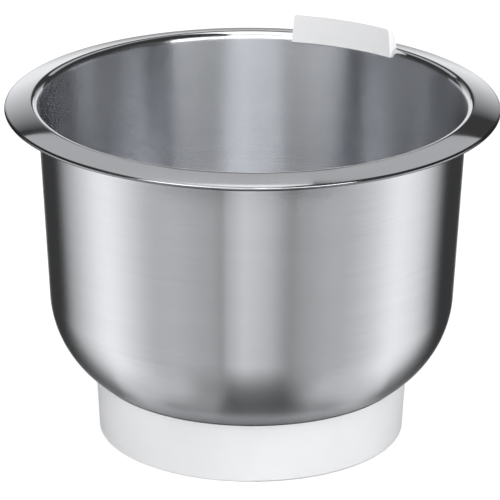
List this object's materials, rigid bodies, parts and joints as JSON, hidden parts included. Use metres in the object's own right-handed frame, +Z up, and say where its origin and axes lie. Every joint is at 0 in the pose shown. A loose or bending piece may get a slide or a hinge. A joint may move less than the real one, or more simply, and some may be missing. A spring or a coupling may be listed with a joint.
{
  "type": "stand mixer bowl",
  "caption": "Drawn steel mixing bowl with a flared, hemmed rim and a small clip on it, on a moulded foot that twist-locks to a stand mixer's base.",
  "frame": {"origin": "centre of the foot's resting ring, on the table", "axes": "+Z up along the bowl's axis, -Y towards the viewer of the picture, so the rim clip lies at the back right, between +Y and +X"},
  "size_m": [0.24, 0.24, 0.1803],
  "materials": {
    "bowl_steel": "brushed round the axis, polished on the flange",
    "foot_plastic": "satin white moulding",
    "grip_plastic": "satin white moulding",
    "fastener_steel": "plain stainless"
  },
  "bodies": {
    "root": {"bowl_shell": "bowl_steel", "foot_ring": "foot_plastic", "rim_grip": "grip_plastic", "weld_studs": "fastener_steel", "washers": "fastener_steel", "hex_nuts": "fastener_steel"}
  },
  "joints": []
}
